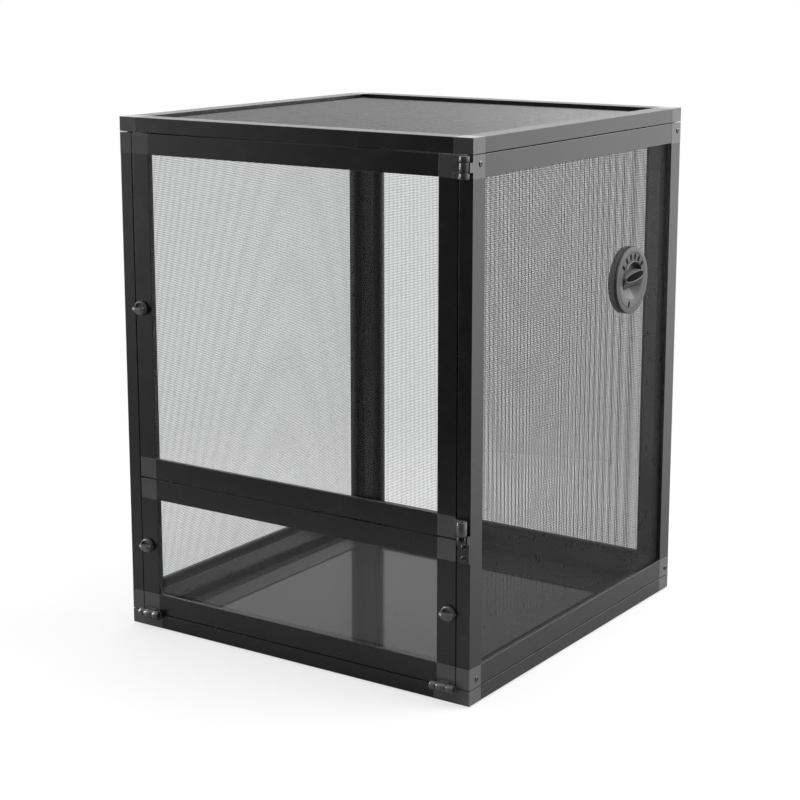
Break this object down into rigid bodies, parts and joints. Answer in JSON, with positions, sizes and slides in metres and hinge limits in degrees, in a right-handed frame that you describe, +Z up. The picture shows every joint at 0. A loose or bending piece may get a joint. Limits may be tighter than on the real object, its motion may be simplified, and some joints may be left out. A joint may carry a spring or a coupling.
{
  "type": "mesh reptile cage",
  "caption": "Upright black-framed mesh cage for reptiles, with a side-hung clear upper door, a drop-down clear lower hatch, turn latches and a rotary port in the side net.",
  "frame": {"origin": "bottom centre of the outer box, on the surface that the feet stand on", "axes": "+Z up, front with the doors towards -Y, port side towards +X"},
  "size_m": [0.403, 0.4097, 0.5115],
  "materials": {
    "frame": "satin black coated aluminium extrusion",
    "corner": "moulded black plastic, slightly lighter than the frame",
    "latch": "moulded black plastic with a soft gloss",
    "port": "moulded dark grey plastic",
    "net": "fine black coated wire mesh",
    "pane": "clear sheet",
    "floor_sheet": "dark grey glossy sheet",
    "spline": "black ribbed retaining strip",
    "steel": "blackened steel",
    "feet": "black rubber pad"
  },
  "bodies": {
    "cage": {"top_rails": "frame", "top_stiles": "frame", "top_corners": "corner", "top_net": "net", "top_spline": "spline", "bottom_rails": "frame", "bottom_stiles": "frame", "bottom_corners": "corner", "floor_sheet": "floor_sheet", "floor_spline": "spline", "left_rails": "frame", "left_stiles": "frame", "left_corners": "corner", "left_net": "net", "left_spline": "spline", "right_rails": "frame", "right_stiles": "frame", "right_corners": "corner", "right_net": "net", "right_spline": "spline", "back_rails": "frame", "back_stiles": "frame", "back_corners": "corner", "back_net": "net", "back_spline": "spline", "hinge_bracket": "latch", "hinge_bracket_screws": "steel", "door_hinge_pins": "steel", "hatch_hinge_pins": "steel", "port_bezel": "port", "port_clamp_ring": "port", "panel_screws": "steel", "feet": "feet"},
    "upper_door": {"upper_door_rails": "frame", "upper_door_stiles": "frame", "upper_door_corners": "corner", "upper_door_pane": "pane", "upper_door_seal": "spline"},
    "lower_door": {"lower_door_rails": "frame", "lower_door_stiles": "frame", "lower_door_corners": "corner", "lower_door_pane": "pane", "lower_door_seal": "spline"},
    "upper_latch": {"upper_knob": "latch", "upper_cam": "latch", "upper_cam_screw": "steel"},
    "lower_left_latch": {"lower_left_knob": "latch", "lower_left_cam": "latch", "lower_left_cam_screw": "steel"},
    "lower_right_latch": {"lower_right_knob": "latch", "lower_right_cam": "latch", "lower_right_cam_screw": "steel"},
    "port_rotor": {"port_dial": "port"}
  },
  "joints": [
    {"name": "upper_door_swing", "type": "hinge", "parent": "cage", "child": "upper_door", "pos_m": [0.1937, -0.20015, 0.3265], "axis": [0, 0, 1], "range_deg": [0, 180]},
    {"name": "lower_door_drop", "type": "hinge", "parent": "cage", "child": "lower_door", "pos_m": [-0.0005, -0.19965, 0.016], "axis": [1, 0, 0], "range_deg": [0, 90]},
    {"name": "upper_latch_turn", "type": "hinge", "parent": "upper_door", "child": "upper_latch", "pos_m": [-0.1785, -0.18815, 0.32641], "axis": [0, -1, 0], "range_deg": [0, 90]},
    {"name": "lower_left_latch_turn", "type": "hinge", "parent": "lower_door", "child": "lower_left_latch", "pos_m": [-0.1785, -0.18815, 0.0856], "axis": [0, -1, 0], "range_deg": [0, 90]},
    {"name": "lower_right_latch_turn", "type": "hinge", "parent": "lower_door", "child": "lower_right_latch", "pos_m": [0.1775, -0.18815, 0.0856], "axis": [0, 1, 0], "range_deg": [0, 90]},
    {"name": "port_dial_turn", "type": "hinge", "parent": "cage", "child": "port_rotor", "pos_m": [0.1965, 0.10985, 0.3465], "axis": [1, 0, 0], "range_deg": [0, 120]}
  ]
}
